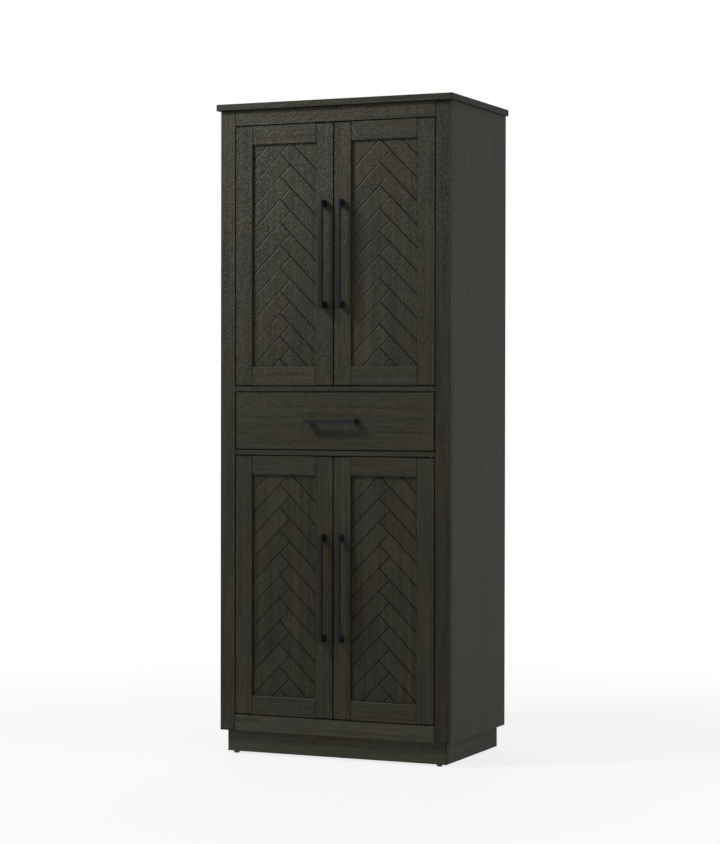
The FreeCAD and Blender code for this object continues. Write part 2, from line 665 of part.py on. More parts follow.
# Door pivots: plates let into the rails, collared pins through them, bushes in the doors.
plate = board("pivot_plate", ("0", "0", "0"), ("plateLength", "plateWidth", "plateThickness"))
bore(plate, "XY_Plane", [("pivotEnd", "plateWidth / 2")], "pinHoleRadius", "plateThickness",
     backwards=True)
collar_top = "pinDepth + inset - collarRoom"
pin_top = "pinDepth + inset + pinReach"
pin = turned("pivot_pin", [
    ("0", "0"), ("pinRadius", "0"), ("pinRadius", "pinDepth"), ("collarRadius", "pinDepth"),
    ("collarRadius", collar_top), ("pinRadius", collar_top), ("pinRadius", pin_top),
    ("0", pin_top)])
bush = turned("pivot_bush", [
    ("pinHoleRadius", "0"), ("bushRadius", "0"), ("bushRadius", "bushLength"),
    ("pinHoleRadius", "bushLength")])
plate_places, plate_turns, pin_places, pin_turns = [], [], [], []
for sill, head in [("lowerSill", "lowerHead"), ("upperSill", "upperHead")]:
    for left_handed in (True, False):
        plate_end = "-openingWidth / 2" if left_handed else "openingWidth / 2"
        plate_front = "faceFront + plateSetback" + ("" if left_handed else " + plateWidth")
        pin_west = f"{plate_end} + pivotEnd" if left_handed else f"{plate_end} - pivotEnd"
        plate_places += [(plate_end, plate_front, f"{sill} - plateThickness"),
                         (plate_end, plate_front, head)]
        plate_turns += [upright_turn if left_handed else half_turn] * 2
        pin_places += [(pin_west, "faceFront + pivotSetback", f"{sill} - pinDepth"),
                       (pin_west, "faceFront + pivotSetback", f"{head} + pinDepth")]
        pin_turns += [upright_turn, upside_down]
nodes.append(copies("pivot_plates", plate, plate_places, plate_turns))
nodes.append(copies("pivot_pins", pin, pin_places, pin_turns))

# Stops behind the doors' heads, with a magnet for each door.
nodes.append(group("door_stops", [
    door_stop("lower_stop", "lowerHead", "(drawerSill - deckThickness)"),
    door_stop("upper_stop", "upperHead", "(slabBottom - deckThickness)")]))
magnet = turned("magnet", [
    ("0", "0"), ("magnetRadius", "0"), ("magnetRadius", "magnetLength"), ("0", "magnetLength")])
magnet_places = [
    (west, "frameBack - magnetProud", f"{head} - magnetDrop")
    for head in ("lowerHead", "upperHead") for west in ("-magnetSpacing", "magnetSpacing")]
nodes.append(copies("catch_magnets", magnet, magnet_places, [along_y] * len(magnet_places)))

# Doors, two above and two below.
for storey, sill, opening_height in [("lower", "lowerSill", "lowerOpeningHeight"),
                                     ("upper", "upperSill", "upperOpeningHeight")]:
    for side in ("left", "right"):
        door(storey, side, sill, opening_height)

# Drawer on a pair of three-part runners.
nodes.append(board("drawer_front", ("-frontWidth / 2", "faceFront", "drawerSill + inset"),
                   ("frontWidth", "doorThickness", "frontHeight")))
nodes.append(drawer_side("left"))
nodes.append(drawer_side("right"))
nodes.append(drawer_cross_board("drawer_subfront", "boxFront", "back"))
nodes.append(drawer_cross_board(
    "drawer_back", "boxFront + drawerBoxDepth - drawerBoardThickness", "front"))
bottom_margin = "drawerBoardThickness - drawerBottomTongue"
nodes.append(board(
    "drawer_bottom",
    ("-boxInside / 2 - drawerBottomTongue", f"boxFront + {bottom_margin}",
     "boxBottom + drawerBottomLift"),
    ("boxInside + 2 * drawerBottomTongue", f"drawerBoxDepth - 2 * ({bottom_margin})",
     "drawerBottomThickness")))
nodes.append(bar_handle(
    "drawer_handle",
    ("-drawerHandleLength / 2", "faceFront - handleProjection",
     "drawerSill + (drawerOpeningHeight - handleWidth) / 2"),
    "drawerHandleLength", upright=False))
for label, side_west in [("left", "-insideWidth / 2"), ("right", "openingWidth / 2")]:
    board(f"runner_block_{label}", (side_west, "frameBack", "drawerSill"),
          ("frameStileWidth - sideThickness", "drawerBoxDepth", "runnerBlockHeight"))
nodes.append(group("runner_blocks", [
    document.getObject("runner_block_left"), document.getObject("runner_block_right")]))
section_step = "(runnerSheet + runnerFit)"
nodes.append(runner_section("runner_outers", "0", "runnerBottom", "runnerHeight", True))
nodes.append(runner_section("runner_middles", section_step, f"runnerBottom + {section_step}",
                            "middleSection", True))
nodes.append(runner_section("runner_inners", "(runnerSpace - runnerFlange)",
                            f"runnerBottom + 2 * {section_step}", "innerSection", False))

# Every object must be sound before anything is written.
document.recompute()
for thing in document.Objects:
    if "Invalid" in thing.State or "Error" in thing.State:
        raise ValueError(f"{thing.Label} did not compute: {thing.State}")
for node in nodes:
    if node.Shape.isNull() or not node.Shape.isValid():
        raise ValueError(f"{node.Label} has no sound shape")

os.makedirs("parts", exist_ok=True)
for node in nodes:
    node.Shape.exportStep(f"parts/{node.Label}.step")
print(f"{len(nodes)} nodes written")
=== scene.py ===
import math
import bmesh
import bpy
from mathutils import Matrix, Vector


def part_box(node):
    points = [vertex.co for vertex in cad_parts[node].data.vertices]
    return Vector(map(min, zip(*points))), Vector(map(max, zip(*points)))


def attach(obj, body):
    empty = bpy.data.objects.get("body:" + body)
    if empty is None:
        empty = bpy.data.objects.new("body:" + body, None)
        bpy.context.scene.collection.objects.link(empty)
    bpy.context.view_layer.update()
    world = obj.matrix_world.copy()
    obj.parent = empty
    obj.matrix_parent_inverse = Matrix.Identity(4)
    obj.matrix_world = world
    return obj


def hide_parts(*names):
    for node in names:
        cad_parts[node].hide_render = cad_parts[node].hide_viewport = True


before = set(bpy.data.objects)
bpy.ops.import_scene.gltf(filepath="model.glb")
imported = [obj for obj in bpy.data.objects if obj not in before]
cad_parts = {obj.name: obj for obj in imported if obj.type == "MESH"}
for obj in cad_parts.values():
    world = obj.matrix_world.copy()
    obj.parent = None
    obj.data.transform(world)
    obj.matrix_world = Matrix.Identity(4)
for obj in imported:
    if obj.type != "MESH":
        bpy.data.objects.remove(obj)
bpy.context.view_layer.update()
print("frame:", len(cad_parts), "construction pieces")

doorNames = [f"{storey}_{side}" for storey in ("lower", "upper") for side in ("left", "right")]
mm = 0.001


# helpers shared by material trees and shape trees

def addNode(tree, kind, **settings):
    made = tree.nodes.new(kind)
    for key, setting in settings.items():
        setattr(made, key, setting)
    return made


def feed(tree, socket, content):
    if isinstance(content, bpy.types.NodeSocket):
        tree.links.new(content, socket)
    elif content is not None:
        socket.default_value = content


def calc(tree, operation, *terms, clamp=False):
    made = addNode(tree, "ShaderNodeMath", operation=operation, use_clamp=clamp)
    for index, term in enumerate(terms):
        feed(tree, made.inputs[index], term)
    return made.outputs[0]


def joinVector(tree, x, y, z):
    made = addNode(tree, "ShaderNodeCombineXYZ")
    for index, part in enumerate((x, y, z)):
        feed(tree, made.inputs[index], part)
    return made.outputs[0]


def splitVector(tree, vector):
    made = addNode(tree, "ShaderNodeSeparateXYZ")
    feed(tree, made.inputs[0], vector)
    return made.outputs


def remap(tree, content, low, high, newLow=0.0, newHigh=1.0, smooth=False):
    made = addNode(tree, "ShaderNodeMapRange", clamp=True)
    if smooth:
        made.interpolation_type = "SMOOTHSTEP"
    for index, part in enumerate((content, low, high, newLow, newHigh)):
        feed(tree, made.inputs[index], part)
    return made.outputs[0]


def mixColour(tree, amount, under, over, mode="MIX"):
    made = addNode(tree, "ShaderNodeMix", data_type="RGBA", blend_type=mode)
    feed(tree, made.inputs[0], amount)
    feed(tree, made.inputs[6], under)
    feed(tree, made.inputs[7], over)
    return made.outputs[2]


def stretchedNoise(tree, coords, stretch, detail=3.0, rough=0.55, shift=0.0):
    mapping = addNode(tree, "ShaderNodeMapping")
    feed(tree, mapping.inputs["Vector"], coords)
    mapping.inputs["Scale"].default_value = stretch
    mapping.inputs["Location"].default_value = (shift, 0.7 * shift, 1.3 * shift)
    noise = addNode(tree, "ShaderNodeTexNoise")
    feed(tree, noise.inputs["Vector"], mapping.outputs[0])
    noise.inputs["Scale"].default_value = 1.0
    noise.inputs["Detail"].default_value = detail
    noise.inputs["Roughness"].default_value = rough
    return noise.outputs[0]


def newMaterial(name):
    material = bpy.data.materials.new(name)
    material.use_nodes = True
    tree = material.node_tree
    tree.nodes.clear()
    shader = addNode(tree, "ShaderNodeBsdfPrincipled")
    output = addNode(tree, "ShaderNodeOutputMaterial")
    tree.links.new(shader.outputs[0], output.inputs[0])
    coords = addNode(tree, "ShaderNodeTexCoord").outputs["Object"]
    return material, tree, shader, coords


def addBump(tree, shader, height, strength, distance):
    bump = addNode(tree, "ShaderNodeBump")
    bump.inputs["Strength"].default_value = strength
    bump.inputs["Distance"].default_value = distance
    feed(tree, bump.inputs["Height"], height)
    tree.links.new(bump.outputs[0], shader.inputs["Normal"])


def colour(red, green, blue):
    return (red, green, blue, 1.0)


def edgeNearness(tree, coords, low, high, reach):
    # 1 on the outer box's arrises, falling to 0 at the given reach
    gaps = []
    for part, near, far in zip(splitVector(tree, coords), low, high):
        gaps.append(calc(tree, "MINIMUM", calc(tree, "SUBTRACT", part, near),
                         calc(tree, "SUBTRACT", far, part)))
    least = calc(tree, "MINIMUM", gaps[0], gaps[1])
    other = calc(tree, "MAXIMUM", gaps[0], gaps[1])
    second = calc(tree, "MAXIMUM", least, calc(tree, "MINIMUM", other, gaps[2]))
    return remap(tree, second, 0.0, reach, 1.0, 0.0, smooth=True)


# brushed, dark stained oak of the case, frame, doors and drawer front
brushedOak = {
    "dark": colour(0.0120, 0.0122, 0.0075),
    "light": colour(0.043, 0.0425, 0.0290),
    "warm": colour(1.24, 1.00, 0.84),
    "cool": colour(0.84, 1.02, 0.98),
    # speck: light flecks of the brushed grain, partly the wood's own, partly a painted glint
    "speck": colour(0.130, 0.136, 0.126),
    "speckAmount": 0.62,
    # edge: lighter arris colour, partly wear, partly a painted highlight
    "edge": colour(0.070, 0.071, 0.060),
    "edgeAmount": 0.14,
    "sideShade": 0.75,
    # ledge: painted highlight on the lower rail's top edge
    "ledge": colour(0.085, 0.092, 0.084),
    "ledgeWear": 0.75,
    "edgeReach": 2.0 * mm,
    # near-black of the butt joints, also used for the painted shade in grooves and gaps
    "joint": colour(0.004, 0.004, 0.003),
    "jointReach": 3.0 * mm,
    "jointAmount": 0.92,
    "wander": 0.010,
    "roughLow": 0.46,
    "roughHigh": 0.66,
    "specular": 0.12,
    "relief": 0.7,
    "reliefDepth": 0.5 * mm,
}
smoothVeneer = dict(
    brushedOak,
    dark=colour(0.0280, 0.0295, 0.0220), light=colour(0.0390, 0.0410, 0.0320),
    speckAmount=0.05, edgeAmount=0.30, relief=0.10, roughLow=0.58, roughHigh=0.68, specular=0.06,
    jointAmount=0.0, sideShade=0.0, warm=colour(1.06, 1.0, 0.94), cool=colour(0.95, 1.0, 1.04))
# painted shade: a darker copy of the oak for the right face stile, standing for the shade on that
# side
paintedShadeOak = dict(
    brushedOak,
    dark=colour(0.0088, 0.0092, 0.0058), light=colour(0.030, 0.0305, 0.0212))
# painted light: a lighter copy of the oak for the bottom rail and plinth front, standing for light
# bounced up from the floor
paintedLightFootOak = dict(
    brushedOak,
    dark=colour(0.0205, 0.0195, 0.0125), light=colour(0.073, 0.0690, 0.0480))
slabOak = dict(
    brushedOak,
    light=colour(0.031, 0.032, 0.0245), edgeAmount=0.08, speckAmount=0.35)
insideLaminate = dict(
    brushedOak,
    dark=colour(0.030, 0.024, 0.018), light=colour(0.058, 0.047, 0.036),
    speckAmount=0.05, edgeAmount=0.2, relief=0.12, roughLow=0.45, roughHigh=0.6, jointAmount=0.0,
    sideShade=0.0)
drawerPly = dict(
    brushedOak,
    dark=colour(0.36, 0.25, 0.14), light=colour(0.56, 0.42, 0.26),
    warm=colour(1.06, 1.0, 0.93), cool=colour(0.96, 1.0, 1.02),
    speck=colour(0.22, 0.14, 0.07), speckAmount=0.25, edge=colour(0.50, 0.38, 0.24),
    edgeAmount=0.3, relief=0.12, roughLow=0.45, roughHigh=0.6, jointAmount=0.0,
    sideShade=0.0)


# how finely each part of the grain is drawn: across, through and along the board, per metre
grainScale = {
    "wander": (5, 5, 1.7), "patches": (16, 16, 3.0), "figure": (90, 90, 2.4),
    "fibre": (520, 520, 14), "flecks": (390, 390, 250), "pores": (430, 430, 170),
    "scuff": (60, 60, 60), "figureShare": 0.62, "threadShare": 0.38, "poreStain": 0.55,
    "plankDark": 0.86, "plankLight": 1.14,
}
# painted glint: the flecks are drawn strongest at the top and the left, where the light catches the
# brushed grain, least over the lower doors
fleckGlintSpread = {"low": 0.65, "high": 1.7, "least": 0.12, "footLow": 0.075, "footHigh": 0.20,
               "foot": 0.5, "halfWidth": 0.35, "left": 1.15, "right": 0.60}

# herringbone panel: a board with eased V grooves repeated down it by one pitch
panelShape = {
    "plankWidth": 45 * mm, "grooveWidth": 3.5 * mm, "grooveDepth": 2.2 * mm,
    "shoulder": 0.40, "foot": 0.25, "phase": {"left": 60 * mm, "right": 30 * mm},
    # the groove lips' painted highlight and the groove feet's painted shade
    "tongue": 8 * mm, "toneSeed": 11, "lipHighlight": 0.95, "lipHighlightColour": colour(0.34, 0.34, 0.30),
    "grooveFootShade": 0.9,
}


def woodMaterial(name, look, grain, seed, low, high, planks=False, ledge=None):
    material, tree, shader, coords = newMaterial(name)
    turns = {"x": (0, math.pi / 2, 0), "y": (math.pi / 2, 0, 0), "z": (0, 0, 0)}
    turned = addNode(tree, "ShaderNodeMapping")  # the grain runs along the turned Z
    tree.links.new(coords, turned.inputs["Vector"])
    turned.inputs["Rotation"].default_value = turns[grain]
    turned.inputs["Location"].default_value = (seed * 0.37, seed * 0.23, seed * 0.61)
    wander = stretchedNoise(tree, turned.outputs[0], grainScale["wander"], 2)
    sway = calc(tree, "MULTIPLY", calc(tree, "SUBTRACT", wander, 0.5), look["wander"])
    across, through, along = splitVector(tree, turned.outputs[0])
    bent = joinVector(tree, calc(tree, "ADD", across, sway), calc(tree, "ADD", through, sway),
                      along)

    patches = stretchedNoise(tree, bent, grainScale["patches"], 3, 0.6)
    figure = stretchedNoise(tree, bent, grainScale["figure"], 5, 0.62)
    fibre = stretchedNoise(tree, bent, grainScale["fibre"], 2, 0.5)
    flecks = stretchedNoise(tree, bent, grainScale["flecks"], 2, 0.6, 3.1)
    pores = stretchedNoise(tree, bent, grainScale["pores"], 1, 0.5, 7.7)

    tone = remap(tree, figure, 0.30, 0.70)
    thread = remap(tree, fibre, 0.32, 0.68)
    grainTone = calc(tree, "ADD", calc(tree, "MULTIPLY", tone, grainScale["figureShare"]),
                     calc(tree, "MULTIPLY", thread, grainScale["threadShare"]))
    base = mixColour(tree, grainTone, look["dark"], look["light"])
    tint = mixColour(tree, remap(tree, patches, 0.36, 0.64), look["cool"], look["warm"])
    base = mixColour(tree, 1.0, base, tint, "MULTIPLY")
    if planks:
        plank = addNode(tree, "ShaderNodeAttribute", attribute_name="plankTone")
        shade = remap(tree, plank.outputs["Fac"], 0.0, 1.0,
                      grainScale["plankDark"], grainScale["plankLight"])
        base = mixColour(tree, 1.0, base, joinVector(tree, shade, shade, shade), "MULTIPLY")
    place = splitVector(tree, coords)
    # painted glint: the fleck strength is set by place, strongest at the top and the left, with
    # some more at the very foot
    spread = fleckGlintSpread
    glintByPlace = calc(tree, "MAXIMUM",
                remap(tree, place[2], spread["low"], spread["high"], spread["least"], 1.0),
                remap(tree, place[2], spread["footLow"], spread["footHigh"], spread["foot"], 0.0))
    glintByPlace = calc(tree, "MULTIPLY", glintByPlace,
                remap(tree, place[0], -spread["halfWidth"], spread["halfWidth"],
                      spread["left"], spread["right"]))
    fleckMask = remap(tree, flecks, 0.50, 0.64)
    speckle = calc(tree, "MULTIPLY", calc(tree, "MULTIPLY", fleckMask, glintByPlace), look["speckAmount"])
    base = mixColour(tree, speckle, base, look["speck"])
    poreMask = remap(tree, pores, 0.56, 0.68)
    poreStain = calc(tree, "MULTIPLY", poreMask, grainScale["poreStain"])
    base = mixColour(tree, poreStain, base, look["dark"])
    # lighter arrises: partly wear, partly a painted highlight where the eased edges catch the light
    arrisMask = edgeNearness(tree, coords, low, high, look["edgeReach"])
    scuff = stretchedNoise(tree, coords, grainScale["scuff"], 3, 0.6, 1.9)
    scuff = remap(tree, scuff, 0.35, 0.65)
    arrisWearAndHighlight = calc(tree, "MULTIPLY", calc(tree, "MULTIPLY", arrisMask, scuff), look["edgeAmount"])
    base = mixColour(tree, arrisWearAndHighlight, base, look["edge"])
    if look["jointAmount"]:  # dark line where the board's ends butt against the next one
        axis = "xyz".index(grain)
        end = calc(tree, "MINIMUM", calc(tree, "SUBTRACT", place[axis], low[axis]),
                   calc(tree, "SUBTRACT", high[axis], place[axis]))
        line = remap(tree, end, 0.45 * look["jointReach"], look["jointReach"],
                     look["jointAmount"], 0.0)
        base = mixColour(tree, line, base, look["joint"])
    if planks:  # painted shade in the grooves' feet, and a painted highlight on the groove lips that face the light
        sunk = calc(tree, "SUBTRACT", place[1], low[1])
        foot = remap(tree, sunk, 0.35 * mm, 0.9 * mm, 0.0, panelShape["grooveFootShade"])
        base = mixColour(tree, foot, base, look["joint"])
        upper = addNode(tree, "ShaderNodeAttribute", attribute_name="keyLitLip").outputs["Fac"]
        lip = calc(tree, "MULTIPLY", remap(tree, upper, 0.12, 0.40, 0.0, panelShape["lipHighlight"]),
                   remap(tree, sunk, 0.7 * mm, 1.2 * mm, 1.0, 0.0))
        base = mixColour(tree, calc(tree, "MULTIPLY", lip, glintByPlace), base, panelShape["lipHighlightColour"])
    elif look["sideShade"]:  # painted shade: the narrow sides, in the gaps, are darkened as the gaps' shade
        sides = [calc(tree, "MINIMUM", calc(tree, "SUBTRACT", place[axis], low[axis]),
                      calc(tree, "SUBTRACT", high[axis], place[axis])) for axis in (0, 2)]
        side = calc(tree, "MINIMUM", *sides)
        gapShadeMask = remap(tree, side, 0.4 * mm, 1.1 * mm, look["sideShade"], 0.0)
        base = mixColour(tree, gapShadeMask, base, look["joint"])
    if ledge is not None:  # painted highlight: the top edge of the lower rail, below the panel, is lightened where the light from above falls
        off = calc(tree, "ABSOLUTE", calc(tree, "SUBTRACT", place[2], ledge))
        ledgeLightMask = remap(tree, off, 0.5 * mm, 1.6 * mm, look["ledgeWear"], 0.0)
        base = mixColour(tree, ledgeLightMask, base, look["ledge"])
    tree.links.new(base, shader.inputs["Base Color"])

    rough = remap(tree, grainTone, 0.0, 1.0, look["roughHigh"], look["roughLow"])
    rough = calc(tree, "ADD", rough, calc(tree, "MULTIPLY", poreMask, 0.15))
    tree.links.new(rough, shader.inputs["Roughness"])
    shader.inputs["Specular IOR Level"].default_value = look["specular"]
    raised = calc(tree, "ADD", thread, calc(tree, "MULTIPLY", fleckMask, 0.8))
    relief = calc(tree, "SUBTRACT", raised, poreMask)
    addBump(tree, shader, relief, look["relief"], look["reliefDepth"])
    return material


# metals and plastic: base colour, metal share, roughness span, how the marks are stretched
metalLooks = {
    "handle_metal": {"base": colour(0.0046, 0.0062, 0.0076),
                     "other": colour(0.0080, 0.0106, 0.0124),
                     "metallic": 0.0, "rough": (0.32, 0.44), "marks": (700, 700, 700),
                     "specular": 0.18, "relief": 0.08},
    "runner_steel": {"base": colour(0.56, 0.57, 0.58), "other": colour(0.68, 0.69, 0.69),
                     "metallic": 1.0, "rough": (0.26, 0.42), "marks": (900, 12, 900),
                     "specular": 0.5, "relief": 0.08},
    "zinc_steel": {"base": colour(0.58, 0.58, 0.55), "other": colour(0.72, 0.72, 0.70),
                   "metallic": 1.0, "rough": (0.28, 0.45), "marks": (240, 240, 240),
                   "specular": 0.5, "relief": 0.08},
    # painted shade: the pivot plates, pins, catch magnets and plate screws get a near-black steel
    # so that they read as the shade in the door gaps
    "pivot_steel_painted_shade": {"base": colour(0.020, 0.020, 0.021), "other": colour(0.040, 0.040, 0.041),
                    "metallic": 1.0, "rough": (0.40, 0.55), "marks": (240, 240, 240),
                    "specular": 0.5, "relief": 0.08},
    "magnet_steel": {"base": colour(0.48, 0.48, 0.50), "other": colour(0.60, 0.60, 0.61),
                     "metallic": 1.0, "rough": (0.18, 0.32), "marks": (420, 420, 420),
                     "specular": 0.5, "relief": 0.05},
    "bush_brass": {"base": colour(0.52, 0.36, 0.15), "other": colour(0.72, 0.54, 0.27),
                   "metallic": 1.0, "rough": (0.25, 0.45), "marks": (300, 300, 40),
                   "specular": 0.5, "relief": 0.06},
    "glide_plastic": {"base": colour(0.022, 0.022, 0.023), "other": colour(0.034, 0.034, 0.035),
                      "metallic": 0.0, "rough": (0.42, 0.60), "marks": (500, 500, 500),
                      "specular": 0.4, "relief": 0.10},
}


def metalMaterial(name):
    look = metalLooks[name]
    material, tree, shader, coords = newMaterial(name)
    broad = stretchedNoise(tree, coords, (38, 38, 38), 3, 0.6)
    marks = stretchedNoise(tree, coords, look["marks"], 3, 0.6, 2.3)
    amount = calc(tree, "ADD", calc(tree, "MULTIPLY", remap(tree, broad, 0.3, 0.7), 0.5),
                  calc(tree, "MULTIPLY", remap(tree, marks, 0.3, 0.7), 0.5))
    base = mixColour(tree, amount, look["base"], look["other"])
    tree.links.new(base, shader.inputs["Base Color"])
    tree.links.new(remap(tree, amount, 0.0, 1.0, *look["rough"]), shader.inputs["Roughness"])
    shader.inputs["Metallic"].default_value = look["metallic"]
    shader.inputs["Specular IOR Level"].default_value = look["specular"]
    addBump(tree, shader, marks, look["relief"], 0.05 * mm)
    return material


backBoard = {"dark": colour(0.040, 0.027, 0.018), "light": colour(0.095, 0.066, 0.043),
             "roughness": (0.55, 0.78)}


def hardboardMaterial(name):
    material, tree, shader, coords = newMaterial(name)
    pulp = stretchedNoise(tree, coords, (140, 140, 140), 5, 0.7)
    cloud = stretchedNoise(tree, coords, (7, 7, 7), 3, 0.55, 4.4)
    hairs = stretchedNoise(tree, coords, (900, 60, 260), 2, 0.6, 8.1)
    amount = calc(tree, "ADD", calc(tree, "MULTIPLY", remap(tree, pulp, 0.3, 0.7), 0.5),
                  calc(tree, "MULTIPLY", remap(tree, cloud, 0.3, 0.7), 0.5))
    base = mixColour(tree, amount, backBoard["dark"], backBoard["light"])
    base = mixColour(tree, remap(tree, hairs, 0.64, 0.72, 0.0, 0.5), base, backBoard["light"])
    tree.links.new(base, shader.inputs["Base Color"])
    tree.links.new(remap(tree, pulp, 0.3, 0.7, *backBoard["roughness"]), shader.inputs["Roughness"])
    shader.inputs["Specular IOR Level"].default_value = 0.3
    addBump(tree, shader, pulp, 0.3, 0.25 * mm)
    return material


metals = {name: metalMaterial(name) for name in metalLooks}
hardboard = hardboardMaterial("back_board")

# every carried-over board gets its own material: the look, the grain's axis
boardLooks = {
    "side_panel_left": (smoothVeneer, "z"), "side_panel_right": (smoothVeneer, "z"),
    "top_slab": (slabOak, "x"),
    "bottom_deck": (insideLaminate, "x"), "lower_deck": (insideLaminate, "x"),
    "upper_deck": (insideLaminate, "x"), "top_stretchers": (insideLaminate, "x"),
    "shelves": (insideLaminate, "x"), "door_stops": (insideLaminate, "x"),
    "runner_blocks": (insideLaminate, "y"),
    "face_stile_left": (brushedOak, "z"), "face_stile_right": (paintedShadeOak, "z"),
    "face_rail_bottom": (paintedLightFootOak, "x"), "face_rail_lower": (brushedOak, "x"),
    "face_rail_upper": (brushedOak, "x"), "face_rail_top": (brushedOak, "x"),
    "plinth_front": (paintedLightFootOak, "x"), "plinth_back": (brushedOak, "x"),
    "plinth_left": (smoothVeneer, "y"), "plinth_right": (smoothVeneer, "y"),
    "drawer_front": (brushedOak, "x"),
    "drawer_side_left": (drawerPly, "y"), "drawer_side_right": (drawerPly, "y"),
    "drawer_subfront": (drawerPly, "x"), "drawer_back": (drawerPly, "x"),
    "drawer_bottom": (drawerPly, "x"),
}
for door in doorNames:
    boardLooks[f"{door}_door_hinge_stile"] = (brushedOak, "z")
    boardLooks[f"{door}_door_pull_stile"] = (brushedOak, "z")
    boardLooks[f"{door}_door_rails"] = (brushedOak, "x")
metalNodes = {
    "shelf_supports": "zinc_steel", "pivot_plates": "pivot_steel_painted_shade", "pivot_pins": "pivot_steel_painted_shade",
    "catch_magnets": "pivot_steel_painted_shade", "runner_outers": "runner_steel",
    "runner_middles": "runner_steel", "runner_inners": "runner_steel",
}
metalNodes.update({f"{door}_door_bushes": "bush_brass" for door in doorNames})


def dress(thing, material):
    thing.data.materials.clear()
    thing.data.materials.append(material)


for seed, (node, (look, grain)) in enumerate(sorted(boardLooks.items()), start=1):
    low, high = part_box(node)
    ledge = None
    if node.endswith("door_rails"):
        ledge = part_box(node.replace("rails", "panel"))[0].z + panelShape["tongue"]
    board = woodMaterial(f"oak_{node}", look, grain, seed, low, high, ledge=ledge)
    dress(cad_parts[node], board)
for node, metal in metalNodes.items():
    dress(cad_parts[node], metals[metal])
print("materials:", len(bpy.data.materials))


# shape trees

def newShapeTree(name, inputs):
    tree = bpy.data.node_groups.new(name, "GeometryNodeTree")
    tree.interface.new_socket("Geometry", in_out="INPUT", socket_type="NodeSocketGeometry")
    for label, kind in inputs.items():
        tree.interface.new_socket(label, in_out="INPUT", socket_type=f"NodeSocket{kind}")
    tree.interface.new_socket("Geometry", in_out="OUTPUT", socket_type="NodeSocketGeometry")
    return tree, addNode(tree, "NodeGroupInput").outputs, addNode(tree, "NodeGroupOutput")


def endTree(tree, given, output, geometry):
    realize = addNode(tree, "GeometryNodeRealizeInstances")
    surface = addNode(tree, "GeometryNodeSetMaterial")
    tree.links.new(geometry, realize.inputs[0])
    tree.links.new(realize.outputs[0], surface.inputs["Geometry"])
    tree.links.new(given["Surface"], surface.inputs["Material"])
    tree.links.new(surface.outputs[0], output.inputs[0])


def addPiece(name, mesh):
    piece = bpy.data.objects.new(name, mesh)
    bpy.context.scene.collection.objects.link(piece)
    return piece


def growPiece(name, tree, settings, points=()):
    host = bpy.data.meshes.new(f"{name}_points")
    host.from_pydata([tuple(point) for point in points], [], [])
    piece = addPiece(name, host)
    modifier = piece.modifiers.new("shape", "NODES")
    modifier.node_group = tree
    for item in tree.interface.items_tree:
        if item.in_out == "INPUT" and item.name in settings:
            modifier[item.identifier] = settings[item.name]
    graph = bpy.context.evaluated_depsgraph_get()
    mesh = bpy.data.meshes.new_from_object(
        piece.evaluated_get(graph), preserve_all_data_layers=True, depsgraph=graph)
    piece.modifiers.clear()
    piece.data = mesh
    mesh.name = name
    bpy.data.meshes.remove(host)
    return piece


def moved(tree, geometry, place=None, turn=None):
    made = addNode(tree, "GeometryNodeTransform")
    feed(tree, made.inputs["Geometry"], geometry)
    feed(tree, made.inputs["Translation"], place)
    feed(tree, made.inputs["Rotation"], turn)
    return made.outputs[0]


def grooveCutters(tree, given, start, angle, pitch, length):
    blank = addNode(tree, "GeometryNodeMeshCube")
    feed(tree, blank.inputs["Size"], joinVector(tree, 1.0, 1.0, length))
    feed(tree, blank.inputs["Vertices Y"], 8)
    side, front, along = splitVector(tree, addNode(tree, "GeometryNodeInputPosition").outputs[0])
    share = calc(tree, "ADD", front, 0.5)
    deep = calc(tree, "SUBTRACT", calc(tree, "MULTIPLY", calc(tree, "POWER", share, 1.6), 1.3), 0.3)
    sunk = calc(tree, "MAXIMUM", deep, 0.0)
    slope = calc(tree, "MULTIPLY_ADD", calc(tree, "SUBTRACT", 1.0, sunk),
                 1.0 - panelShape["foot"], panelShape["foot"])
    lip = calc(tree, "MAXIMUM", calc(tree, "MULTIPLY_ADD", sunk, -5.0, 1.0), 0.0)
    lip = calc(tree, "POWER", lip, 2.0)
    width = calc(tree, "MULTIPLY_ADD", lip, panelShape["shoulder"], slope)
    shaped = joinVector(
        tree, calc(tree, "MULTIPLY", side, calc(tree, "MULTIPLY", width, given["Groove Width"])),
        calc(tree, "MULTIPLY", deep, given["Groove Depth"]),
        calc(tree, "SUBTRACT", along, calc(tree, "MULTIPLY", length, 0.5)))
    shape = addNode(tree, "GeometryNodeSetPosition")
    tree.links.new(blank.outputs[0], shape.inputs["Geometry"])
    tree.links.new(shaped, shape.inputs["Position"])
    cutter = moved(tree, shape.outputs[0], turn=(0, angle, 0))
    line = addNode(tree, "GeometryNodeMeshLine", mode="OFFSET")
    feed(tree, line.inputs["Count"], given["Rows"])
    feed(tree, line.inputs["Start Location"], start)
    down = calc(tree, "MULTIPLY", pitch, -1.0)
    feed(tree, line.inputs["Offset"], joinVector(tree, 0.0, 0.0, down))
    rows = addNode(tree, "GeometryNodeInstanceOnPoints")
    tree.links.new(line.outputs[0], rows.inputs["Points"])
    tree.links.new(cutter, rows.inputs["Instance"])
    realize = addNode(tree, "GeometryNodeRealizeInstances")
    tree.links.new(rows.outputs[0], realize.inputs[0])
    return realize.outputs[0]


